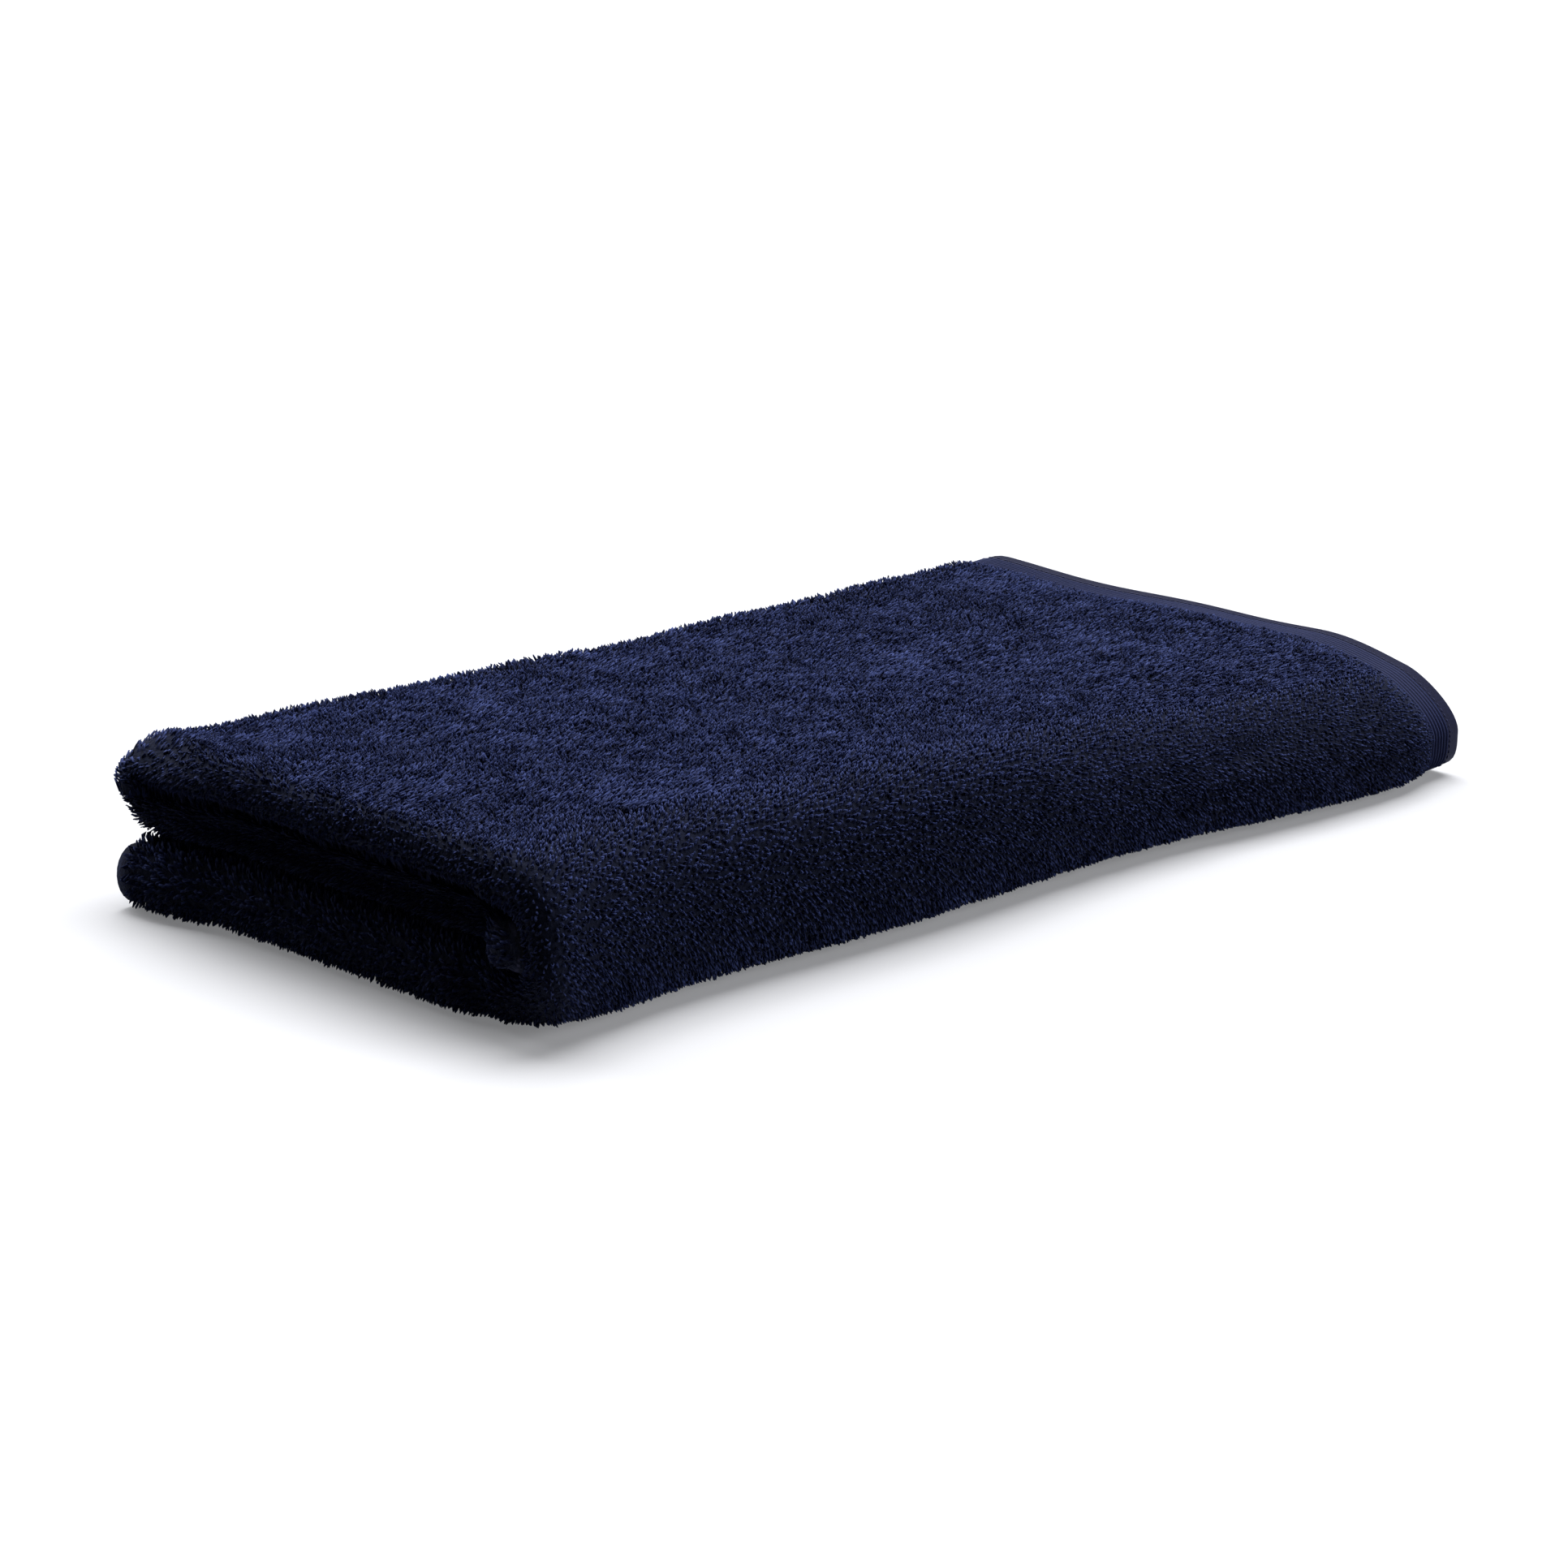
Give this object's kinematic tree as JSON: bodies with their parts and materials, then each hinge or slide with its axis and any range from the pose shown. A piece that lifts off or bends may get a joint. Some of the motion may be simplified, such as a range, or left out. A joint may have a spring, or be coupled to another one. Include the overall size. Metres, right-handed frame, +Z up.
{
  "type": "folded bath towel",
  "caption": "Plush terry bath towel folded in half and then in three, with ribbed end borders and sewn hems; its front fold opens.",
  "frame": {"origin": "centre of the folded towel's outline, on the surface it lies on", "axes": "+X along the folded towel towards its hemmed end, +Y from the round front fold to the back, +Z up through the layers"},
  "size_m": [0.75, 0.354, 0.0908],
  "materials": {
    "terry": "matt looped cotton pile, navy",
    "border": "flat ribbed cotton weave, navy",
    "hem": "plain turned cotton hem, dark navy with a slight sheen",
    "thread": "twisted sewing thread, navy"
  },
  "bodies": {
    "bottom_panel": {"bottom_outer_panel": "terry", "bottom_inner_panel": "terry", "bottom_doubled_end": "terry", "bottom_doubled_corner": "terry", "bottom_outer_border": "border", "bottom_inner_border": "border", "bottom_outer_hem": "hem", "bottom_inner_hem": "hem", "bottom_outer_side_hem": "hem", "bottom_inner_side_hem": "hem", "bottom_hem_thread": "thread"},
    "front_fold": {"front_outer_panel": "terry", "front_inner_panel": "terry", "front_doubled_end": "terry", "front_outer_border": "border", "front_inner_border": "border", "front_outer_hem": "hem", "front_inner_hem": "hem", "front_hem_thread": "thread"},
    "top_flap": {"top_outer_panel": "terry", "top_inner_panel": "terry", "top_doubled_end": "terry", "top_doubled_corner": "terry", "top_outer_border": "border", "top_inner_border": "border", "top_outer_hem": "hem", "top_inner_hem": "hem", "top_hem_thread": "thread", "back_outer_panel": "terry", "back_inner_panel": "terry", "back_doubled_end": "terry", "back_outer_border": "border", "back_inner_border": "border", "back_outer_hem": "hem", "back_inner_hem": "hem", "middle_upper_panel": "terry", "middle_lower_panel": "terry", "middle_doubled_end": "terry", "middle_upper_border": "border", "middle_lower_border": "border", "middle_upper_hem": "hem", "middle_lower_hem": "hem", "middle_upper_side_hem": "hem", "middle_lower_side_hem": "hem"}
  },
  "joints": [
    {"name": "front_fold_opening", "type": "hinge", "parent": "bottom_panel", "child": "front_fold", "pos_m": [0, -0.15548, 0.02152], "axis": [1, 0, 0], "range_deg": [0, 90]},
    {"name": "top_flap_opening", "type": "hinge", "parent": "front_fold", "child": "top_flap", "pos_m": [0, -0.15548, 0.06928], "axis": [1, 0, 0], "range_deg": [0, 90]}
  ],
  "couplings": [
    {"joint": "top_flap_opening", "follows": "front_fold_opening", "ratio": 1}
  ]
}
